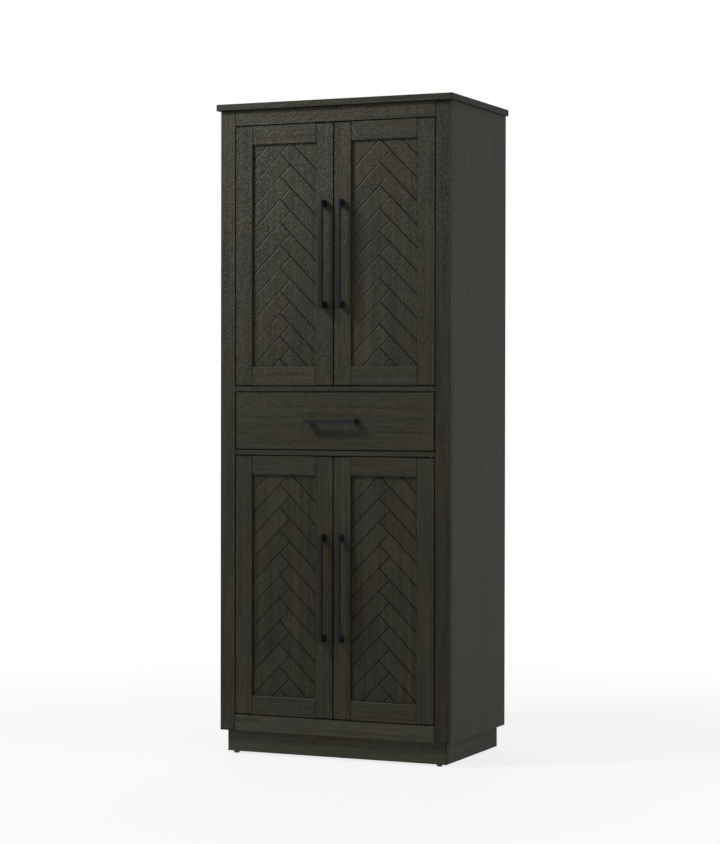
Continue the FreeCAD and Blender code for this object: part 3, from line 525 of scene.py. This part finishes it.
def herringboneTree():
    tree, given, output = newShapeTree("herringbone", {
        "Low Corner": "Vector", "Size": "Vector", "Plank Width": "Float",
        "Groove Width": "Float", "Groove Depth": "Float", "Phase": "Float", "Tongue": "Float",
        "Rows": "Int", "Tone Seed": "Int", "Surface": "Material"})
    size = splitVector(tree, given["Size"])
    wide, tall = size[0], size[2]
    west, front, bottom = splitVector(tree, given["Low Corner"])
    pitch = calc(tree, "MULTIPLY", given["Plank Width"], math.sqrt(2))
    offset = calc(tree, "MULTIPLY", pitch, 0.25)
    middle = calc(tree, "MULTIPLY_ADD", wide, 0.5, west)
    topCorner = calc(tree, "SUBTRACT", calc(tree, "SUBTRACT", calc(tree, "ADD", bottom, tall),
                                            given["Tongue"]), given["Phase"])
    length = calc(tree, "MULTIPLY", calc(tree, "ADD", wide, offset), 1.2)
    rightPoint = calc(tree, "ADD", middle, offset)
    leftPoint = calc(tree, "SUBTRACT", middle, offset)
    slashTop = calc(tree, "MULTIPLY_ADD", pitch, 2.0, topCorner)
    backslashTop = calc(tree, "MULTIPLY_ADD", pitch, 1.5, topCorner)
    slashes = grooveCutters(tree, given, joinVector(tree, rightPoint, front, slashTop),
                            math.radians(45), pitch, length)
    backslashes = grooveCutters(tree, given, joinVector(tree, leftPoint, front, backslashTop),
                                math.radians(-45), pitch, length)
    board = addNode(tree, "GeometryNodeMeshCube")
    feed(tree, board.inputs["Size"], given["Size"])
    centre = addNode(tree, "ShaderNodeVectorMath", operation="MULTIPLY_ADD")
    feed(tree, centre.inputs[0], given["Size"])
    feed(tree, centre.inputs[1], (0.5, 0.5, 0.5))
    feed(tree, centre.inputs[2], given["Low Corner"])
    carve = board.outputs[0]
    carve = moved(tree, carve, centre.outputs[0])
    for cutters in (slashes, backslashes):
        cut = addNode(tree, "GeometryNodeMeshBoolean", operation="DIFFERENCE", solver="EXACT")
        tree.links.new(carve, cut.inputs["Mesh 1"])
        tree.links.new(cutters, cut.inputs["Mesh 2"])
        carve = cut.outputs[0]
    # one steady tone for each plank, from the row it lies in
    spot = splitVector(tree, addNode(tree, "GeometryNodeInputPosition").outputs[0])
    across, level = spot[0], spot[2]
    fromMiddle = calc(tree, "SUBTRACT", across, middle)
    isRight = calc(tree, "GREATER_THAN", fromMiddle, 0.0)
    fall = calc(tree, "SUBTRACT", topCorner, level)
    drop = calc(tree, "SUBTRACT", fall, calc(tree, "ABSOLUTE", fromMiddle))
    rowPlace = calc(tree, "DIVIDE", drop, pitch)
    row = calc(tree, "FLOOR", calc(tree, "ADD", rowPlace, 0.25))
    pick = addNode(tree, "FunctionNodeRandomValue", data_type="FLOAT")
    feed(tree, pick.inputs["ID"], calc(tree, "MULTIPLY_ADD", isRight, 100.0, row))
    feed(tree, pick.inputs["Seed"], given["Tone Seed"])
    tone = addNode(tree, "GeometryNodeStoreNamedAttribute", data_type="FLOAT", domain="FACE")
    tree.links.new(carve, tone.inputs["Geometry"])
    tone.inputs["Name"].default_value = "plankTone"
    tree.links.new(pick.outputs[1], tone.inputs["Value"])
    # painted highlight: how far each face turns towards the light from the upper left, kept for the
    # groove lips
    facing = addNode(tree, "ShaderNodeVectorMath", operation="DOT_PRODUCT")
    tree.links.new(addNode(tree, "GeometryNodeInputNormal").outputs[0], facing.inputs[0])
    facing.inputs[1].default_value = (-0.7, 0.0, 0.7)
    lip = addNode(tree, "GeometryNodeStoreNamedAttribute", data_type="FLOAT", domain="FACE")
    tree.links.new(tone.outputs[0], lip.inputs["Geometry"])
    lip.inputs["Name"].default_value = "keyLitLip"
    tree.links.new(facing.outputs["Value"], lip.inputs["Value"])
    endTree(tree, given, output, lip.outputs[0])
    return tree


herringbone = herringboneTree()
for seed, door in enumerate(doorNames, start=1):
    node = f"{door}_door_panel"
    low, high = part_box(node)
    veneer = woodMaterial(f"oak_{node}", brushedOak, "z", 40 + seed, low, high, planks=True)
    panel = growPiece(f"{door}_panel_boards", herringbone, {
        "Low Corner": low, "Size": high - low, "Plank Width": panelShape["plankWidth"],
        "Groove Width": panelShape["grooveWidth"], "Groove Depth": panelShape["grooveDepth"],
        "Phase": panelShape["phase"][door.split("_")[1]], "Tongue": panelShape["tongue"],
        "Rows": 14, "Tone Seed": panelShape["toneSeed"] + seed, "Surface": veneer})
    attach(panel, f"{door}_door")
    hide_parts(node)
    print("panel:", door, len(panel.data.polygons), "faces")


# bar handles: a square bar turned back into two posts, with softened arrises
handleShape = {"barDepth": 9 * mm, "post": 18 * mm, "arris": 0.6 * mm, "steps": 3,
               "elbow": 1.5 * mm}


def finishMesh(name, bm, smoothAngle=35):
    bmesh.ops.remove_doubles(bm, verts=bm.verts, dist=1e-7)
    bmesh.ops.recalc_face_normals(bm, faces=bm.faces)
    mesh = bpy.data.meshes.new(name)
    bm.to_mesh(mesh)
    bm.free()
    mesh.polygons.foreach_set("use_smooth", [True] * len(mesh.polygons))
    mesh.set_sharp_from_angle(angle=math.radians(smoothAngle))
    return mesh


def handleMesh(name, low, high, upright):
    back, front = high.y, low.y
    barBack = front + handleShape["barDepth"]
    start, end = (low.z, high.z) if upright else (low.x, high.x)
    near, far = (low.x, high.x) if upright else (low.z, high.z)
    post = handleShape["post"]
    outline = [(back, start), (front, start), (front, end), (back, end),
               (back, end - post), (barBack, end - post),
               (barBack, start + post), (back, start + post)]
    bm = bmesh.new()
    corners = [bm.verts.new((near, deep, along) if upright else (along, deep, near))
               for deep, along in outline]
    face = bm.faces.new(corners)
    pushed = bmesh.ops.extrude_face_region(bm, geom=[face])["geom"]
    shift = Vector((far - near, 0, 0)) if upright else Vector((0, 0, far - near))
    bmesh.ops.translate(bm, verts=[item for item in pushed if isinstance(item, bmesh.types.BMVert)],
                        vec=shift)
    bmesh.ops.recalc_face_normals(bm, faces=bm.faces)
    elbows = [edge for edge in bm.edges
              if all(abs(vert.co.y - front) < 1e-6 for vert in edge.verts)
              and abs((edge.verts[0].co - edge.verts[1].co).length - (far - near)) < 1e-6]
    bmesh.ops.bevel(bm, geom=elbows, offset=handleShape["elbow"], segments=4, profile=0.5,
                    affect="EDGES")
    arrises = [edge for edge in bm.edges
               if edge.calc_face_angle(0) > math.radians(50)
               and not all(abs(vert.co.y - back) < 1e-6 for vert in edge.verts)]
    bmesh.ops.bevel(bm, geom=arrises, offset=handleShape["arris"], segments=handleShape["steps"],
                    profile=0.5, affect="EDGES", clamp_overlap=True)
    return finishMesh(name, bm)


handleBodies = {f"{door}_door_handle": f"{door}_door" for door in doorNames}
handleBodies["drawer_handle"] = "drawer"
for node, body in handleBodies.items():
    low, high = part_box(node)
    upright = node != "drawer_handle"
    handle = addPiece(f"{body}_pull", handleMesh(f"{body}_pull", low, high, upright))
    dress(handle, metals["handle_metal"])
    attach(handle, body)
    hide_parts(node)
print("handles:", len(handleBodies))


# floor glides: a turned nylon foot with a rounded sole
glideShape = {"radius": 8 * mm, "flat": 4.4 * mm, "height": 6 * mm, "endInset": 24 * mm,
              "sides": 40}


def glideMesh(name, centres):
    bm = bmesh.new()
    radius, flat, height = glideShape["radius"], glideShape["flat"], glideShape["height"]
    outline = [(0.0, 0.0), (flat, 0.0)]
    for step in range(1, 9):
        angle = math.radians(90 * step / 8)
        outline.append((flat + (radius - flat) * math.sin(angle),
                        0.55 * height * (1 - math.cos(angle))))
    outline += [(radius, 0.92 * height), (0.94 * radius, height), (0.0, height)]
    for centre in centres:
        rings = []
        for across, level in outline:
            if across == 0.0:
                rings.append([bm.verts.new((centre.x, centre.y, level))])
                continue
            sides = glideShape["sides"]
            turns = [2 * math.pi * side / sides for side in range(sides)]
            rings.append([bm.verts.new((centre.x + across * math.cos(turn),
                                        centre.y + across * math.sin(turn), level))
                          for turn in turns])
        for inner, outer in zip(rings, rings[1:]):
            count = glideShape["sides"]
            for side in range(count):
                after = (side + 1) % count
                if len(inner) == 1:
                    bm.faces.new((inner[0], outer[side], outer[after]))
                elif len(outer) == 1:
                    bm.faces.new((inner[side], inner[after], outer[0]))
                else:
                    bm.faces.new((inner[side], inner[after], outer[after], outer[side]))
    return finishMesh(name, bm)


footCentres = []
for node in ("plinth_front", "plinth_back"):
    low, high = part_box(node)
    for x in (low.x + glideShape["endInset"], high.x - glideShape["endInset"]):
        footCentres.append(Vector((x, (low.y + high.y) / 2, 0)))
glides = addPiece("floor_glides", glideMesh("floor_glides", footCentres))
dress(glides, metals["glide_plastic"])
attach(glides, "cabinet")
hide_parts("glides")
print("glides:", len(footCentres))


# screws: one domed, cross-recessed head repeated on points
screwShape = {"headRadius": 3.6 * mm, "headHeight": 1.7 * mm, "recess": 0.85 * mm, "sides": 16}


def screwTree():
    tree, given, output = newShapeTree("screws", {
        "Head Radius": "Float", "Head Height": "Float", "Recess": "Float", "Facing": "Vector",
        "Sides": "Int", "Surface": "Material"})
    blank = addNode(tree, "GeometryNodeMeshCylinder", fill_type="NGON")
    feed(tree, blank.inputs["Vertices"], given["Sides"])
    feed(tree, blank.inputs["Side Segments"], 5)
    feed(tree, blank.inputs["Radius"], 1.0)
    feed(tree, blank.inputs["Depth"], 1.0)
    x, y, z = splitVector(tree, addNode(tree, "GeometryNodeInputPosition").outputs[0])
    share = calc(tree, "ADD", z, 0.5)
    roundness = calc(tree, "SQRT", calc(tree, "MAXIMUM", calc(
        tree, "SUBTRACT", 1.0, calc(tree, "POWER", calc(tree, "MULTIPLY", share, 0.93), 2.6)), 0.0))
    reach = calc(tree, "MULTIPLY", roundness, given["Head Radius"])
    place = addNode(tree, "GeometryNodeSetPosition")
    tree.links.new(blank.outputs["Mesh"], place.inputs["Geometry"])
    tree.links.new(joinVector(tree, calc(tree, "MULTIPLY", x, reach),
                              calc(tree, "MULTIPLY", y, reach),
                              calc(tree, "MULTIPLY", share, given["Head Height"])),
                   place.inputs["Position"])
    head = place.outputs[0]
    blade = calc(tree, "MULTIPLY", given["Head Radius"], 0.26)
    span = calc(tree, "MULTIPLY", given["Head Radius"], 1.15)
    tall = calc(tree, "MULTIPLY", given["Recess"], 2.0)
    for size in ((span, blade), (blade, span)):
        bar = addNode(tree, "GeometryNodeMeshCube")
        feed(tree, bar.inputs["Size"], joinVector(tree, size[0], size[1], tall))
        cut = addNode(tree, "GeometryNodeMeshBoolean", operation="DIFFERENCE", solver="EXACT")
        tree.links.new(head, cut.inputs["Mesh 1"])
        raised = joinVector(tree, 0.0, 0.0, given["Head Height"])
        tree.links.new(moved(tree, bar.outputs[0], raised), cut.inputs["Mesh 2"])
        head = cut.outputs[0]
    turn = addNode(tree, "FunctionNodeEulerToRotation")
    tree.links.new(given["Facing"], turn.inputs[0])
    spread = addNode(tree, "GeometryNodeInstanceOnPoints")
    tree.links.new(given["Geometry"], spread.inputs["Points"])
    tree.links.new(head, spread.inputs["Instance"])
    tree.links.new(turn.outputs[0], spread.inputs["Rotation"])
    endTree(tree, given, output, spread.outputs[0])
    return tree


screws = screwTree()
facings = {"back": (-math.pi / 2, 0, 0), "up": (0, 0, 0), "down": (math.pi, 0, 0)}


def addScrews(name, body, facing, points, scale=1.0, metal="zinc_steel"):
    piece = growPiece(name, screws, {
        "Head Radius": screwShape["headRadius"] * scale,
        "Head Height": screwShape["headHeight"] * scale,
        "Recess": screwShape["recess"] * scale, "Sides": screwShape["sides"],
        "Facing": facings[facing], "Surface": metals[metal]}, points)
    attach(piece, body)
    return piece


for door in doorNames:
    low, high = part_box(f"{door}_door_handle")
    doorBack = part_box(f"{door}_door_pull_stile")[1].y
    centreX = (low.x + high.x) / 2
    halfPost = handleShape["post"] / 2
    addScrews(f"{door}_pull_screws", f"{door}_door", "back",
              [(centreX, doorBack, low.z + halfPost), (centreX, doorBack, high.z - halfPost)])
low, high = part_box("drawer_handle")
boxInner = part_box("drawer_subfront")[1].y
addScrews("drawer_pull_screws", "drawer", "back",
          [(low.x + handleShape["post"] / 2, boxInner, (low.z + high.z) / 2),
           (high.x - handleShape["post"] / 2, boxInner, (low.z + high.z) / 2)])
plateShape = {"screwPlaces": (27 * mm, 38 * mm), "screwScale": 0.62}
plateLow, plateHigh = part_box("pivot_plates")
plateFront = plateLow.y + (plateHigh.y - plateLow.y) / 2
sills = [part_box("face_rail_bottom")[1].z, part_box("face_rail_upper")[1].z]
heads = [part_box("face_rail_lower")[0].z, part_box("face_rail_top")[0].z]
for name, facing, levels in (("sill_plate_screws", "up", sills),
                             ("head_plate_screws", "down", heads)):
    addScrews(name, "cabinet", facing, [
        (side * (plateHigh.x - along), plateFront, level)
        for level in levels for side in (-1, 1) for along in plateShape["screwPlaces"]],
        plateShape["screwScale"], "pivot_steel_painted_shade")
print("screws placed")


# strike discs on the doors' backs, facing the catch magnets
strikeShape = {"radius": 5 * mm, "thick": 0.18 * mm, "sides": 36, "rim": 0.06 * mm}


def strikeMesh(name, centre):
    bm = bmesh.new()
    outline = [(strikeShape["radius"], 0.0),
               (strikeShape["radius"], strikeShape["thick"] - strikeShape["rim"]),
               (strikeShape["radius"] - strikeShape["rim"], strikeShape["thick"]),
               (0.55 * strikeShape["radius"], strikeShape["thick"]),
               (0.50 * strikeShape["radius"], 0.7 * strikeShape["thick"])]
    rings = []
    for across, lift in outline:
        rings.append([bm.verts.new((centre.x + across * math.cos(turn), centre.y + lift,
                                    centre.z + across * math.sin(turn)))
                      for turn in [2 * math.pi * side / strikeShape["sides"]
                                   for side in range(strikeShape["sides"])]])
    bm.faces.new(rings[0])
    bm.faces.new(rings[-1])
    for inner, outer in zip(rings, rings[1:]):
        for side in range(strikeShape["sides"]):
            after = (side + 1) % strikeShape["sides"]
            bm.faces.new((inner[side], inner[after], outer[after], outer[side]))
    return finishMesh(name, bm)


magnetLow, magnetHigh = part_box("catch_magnets")
magnetRadius = 5 * mm
for door in doorNames:
    storey, side = door.split("_")
    level = (magnetLow.z if storey == "lower" else magnetHigh.z - 2 * magnetRadius) + magnetRadius
    x = (magnetLow.x + magnetRadius) * (1 if side == "left" else -1)
    centre = Vector((x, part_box(f"{door}_door_rails")[1].y, level))
    strike = addPiece(f"{door}_strike", strikeMesh(f"{door}_strike", centre))
    dress(strike, metals["magnet_steel"])
    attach(strike, f"{door}_door")
print("strikes placed")


# back panel: thin board with countersunk screws all round and across its decks
backShape = {"inset": 4 * mm, "spacing": 150 * mm, "headRadius": 3.4 * mm, "sink": 1.9 * mm,
             "sides": 20}


def backPoints():
    low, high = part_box("back_panel")
    levels = [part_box(deck)[0].z / 2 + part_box(deck)[1].z / 2
              for deck in ("bottom_deck", "lower_deck", "upper_deck")]
    levels.append(high.z - 8 * mm)
    points = []
    count = int((high.z - low.z) / backShape["spacing"])
    for step in range(count + 1):
        z = low.z + 20 * mm + (high.z - low.z - 40 * mm) * step / count
        for x in (low.x + backShape["inset"], high.x - backShape["inset"]):
            points.append((x, high.y, z))
    across = 4
    for z in levels:
        for step in range(1, across):
            points.append((low.x + (high.x - low.x) * step / across, high.y, z))
    return points


def sunkPanelTree():
    tree, given, output = newShapeTree("sunkPanel", {
        "Low Corner": "Vector", "Size": "Vector", "Head Radius": "Float", "Sink": "Float",
        "Sides": "Int", "Surface": "Material"})
    board = addNode(tree, "GeometryNodeMeshCube")
    feed(tree, board.inputs["Size"], given["Size"])
    centre = addNode(tree, "ShaderNodeVectorMath", operation="MULTIPLY_ADD")
    feed(tree, centre.inputs[0], given["Size"])
    feed(tree, centre.inputs[1], (0.5, 0.5, 0.5))
    feed(tree, centre.inputs[2], given["Low Corner"])
    cone = addNode(tree, "GeometryNodeMeshCone")
    feed(tree, cone.inputs["Vertices"], given["Sides"])
    feed(tree, cone.inputs["Radius Top"], calc(tree, "MULTIPLY", given["Head Radius"], 1.35))
    feed(tree, cone.inputs["Radius Bottom"], calc(tree, "MULTIPLY", given["Head Radius"], 0.45))
    feed(tree, cone.inputs["Depth"], calc(tree, "MULTIPLY", given["Sink"], 1.5))
    below = joinVector(tree, 0.0, 0.0, calc(tree, "MULTIPLY", given["Sink"], -1.0))
    lowered = moved(tree, cone.outputs[0], below)
    spread = addNode(tree, "GeometryNodeInstanceOnPoints")
    tree.links.new(given["Geometry"], spread.inputs["Points"])
    tree.links.new(moved(tree, lowered, turn=(-math.pi / 2, 0, 0)), spread.inputs["Instance"])
    realize = addNode(tree, "GeometryNodeRealizeInstances")
    tree.links.new(spread.outputs[0], realize.inputs[0])
    cut = addNode(tree, "GeometryNodeMeshBoolean", operation="DIFFERENCE", solver="EXACT")
    tree.links.new(moved(tree, board.outputs[0], centre.outputs[0]), cut.inputs["Mesh 1"])
    tree.links.new(realize.outputs[0], cut.inputs["Mesh 2"])
    endTree(tree, given, output, cut.outputs[0])
    return tree


low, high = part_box("back_panel")
backPlaces = backPoints()
backPiece = growPiece("back_board_panel", sunkPanelTree(), {
    "Low Corner": low, "Size": high - low, "Head Radius": backShape["headRadius"],
    "Sink": backShape["sink"], "Sides": backShape["sides"], "Surface": hardboard}, backPlaces)
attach(backPiece, "cabinet")
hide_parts("back_panel")
sunkLift = backShape["sink"] * 0.75
addScrews("back_board_screws", "cabinet", "back",
          [(x, y - sunkLift, z) for x, y, z in backPlaces], 0.78)
print("back panel:", len(backPlaces), "screws")


# floor, world, lamps and camera
stageLook = {"floorSize": 16.0, "floorColour": colour(0.86, 0.86, 0.86), "glow": 0.80,
             "fadeStart": 0.9, "fadeEnd": 2.6, "ambient": 0.22}


def floorMaterial():
    material = bpy.data.materials.new("studio_floor")
    material.use_nodes = True
    tree = material.node_tree
    tree.nodes.clear()
    coords = addNode(tree, "ShaderNodeTexCoord").outputs["Object"]
    length = addNode(tree, "ShaderNodeVectorMath", operation="LENGTH")
    tree.links.new(coords, length.inputs[0])
    far = remap(tree, length.outputs["Value"], stageLook["fadeStart"], stageLook["fadeEnd"],
                stageLook["glow"], 1.0, smooth=True)
    paths = addNode(tree, "ShaderNodeLightPath").outputs
    seen = calc(tree, "ADD", paths["Is Camera Ray"],
                calc(tree, "ADD", paths["Is Glossy Ray"], paths["Is Transmission Ray"]), clamp=True)
    plain = addNode(tree, "ShaderNodeBsdfDiffuse")
    plain.inputs["Color"].default_value = stageLook["floorColour"]
    white = addNode(tree, "ShaderNodeEmission")
    mix = addNode(tree, "ShaderNodeMixShader")
    tree.links.new(calc(tree, "MULTIPLY", far, seen), mix.inputs[0])
    tree.links.new(plain.outputs[0], mix.inputs[1])
    tree.links.new(white.outputs[0], mix.inputs[2])
    tree.links.new(mix.outputs[0], addNode(tree, "ShaderNodeOutputMaterial").inputs[0])
    return material


half = stageLook["floorSize"] / 2
floorMesh = bpy.data.meshes.new("studio_floor")
floorMesh.from_pydata([(-half, -half, 0), (half, -half, 0), (half, half, 0), (-half, half, 0)], [],
                      [(0, 1, 2, 3)])
floor = addPiece("studio_floor", floorMesh)
dress(floor, floorMaterial())

world = bpy.data.worlds.new("studio_world")
bpy.context.scene.world = world
world.use_nodes = True
worldTree = world.node_tree
worldTree.nodes.clear()
paths = addNode(worldTree, "ShaderNodeLightPath").outputs
seen = calc(worldTree, "ADD", paths["Is Camera Ray"],
            calc(worldTree, "ADD", paths["Is Glossy Ray"], paths["Is Transmission Ray"]),
            clamp=True)
sky = addNode(worldTree, "ShaderNodeBackground")
strength = remap(worldTree, seen, 0.0, 1.0, stageLook["ambient"], 1.0)
worldTree.links.new(strength, sky.inputs["Strength"])
worldTree.links.new(sky.outputs[0], addNode(worldTree, "ShaderNodeOutputWorld").inputs[0])
sky.inputs["Color"].default_value = (1.0, 1.0, 1.0, 1.0)

lamps = {
    "key": {"place": (-1.55, -1.7, 2.95), "aim": (-0.15, -0.2, 1.4), "size": (0.75, 0.75),
            "power": 64, "tint": (1.0, 0.985, 0.96)},
    "side": {"place": (3.6, -0.6, 1.5), "aim": (0.35, 0.0, 0.9), "size": (2.4, 1.6), "power": 66,
             "tint": (0.95, 0.98, 1.0)},
    "back": {"place": (-1.5, 3.4, 2.6), "aim": (0.0, 0.2, 1.0), "size": (2.4, 2.0), "power": 60,
             "tint": (1.0, 1.0, 1.0)},
}


def addLamp(name, setup):
    lamp = bpy.data.lights.new(name, "AREA")
    lamp.shape = "RECTANGLE"
    lamp.size, lamp.size_y = setup["size"]
    lamp.energy = setup["power"]
    lamp.color = setup["tint"]
    holder = bpy.data.objects.new(name, lamp)
    bpy.context.scene.collection.objects.link(holder)
    holder.location = setup["place"]
    aim = Vector(setup["aim"]) - Vector(setup["place"])
    holder.rotation_euler = aim.to_track_quat("-Z", "Y").to_euler()


for name, setup in lamps.items():
    addLamp(f"lamp_{name}", setup)

cameraSetup = {"place": (2.730, -6.199, 1.0057), "yaw": 23.814, "pitch": -0.591, "roll": -0.096,
               "lens": 101.72, "sensor": 36.0}
lensData = bpy.data.cameras.new("camera")
lensData.lens = cameraSetup["lens"]
lensData.sensor_width = cameraSetup["sensor"]
camera = bpy.data.objects.new("camera", lensData)
bpy.context.scene.collection.objects.link(camera)
camera.location = cameraSetup["place"]
camera.rotation_euler = (math.radians(90 + cameraSetup["pitch"]), math.radians(cameraSetup["roll"]),
                         math.radians(cameraSetup["yaw"]))
bpy.context.scene.camera = camera
bpy.context.scene.view_settings.view_transform = "Standard"
print("stage set")
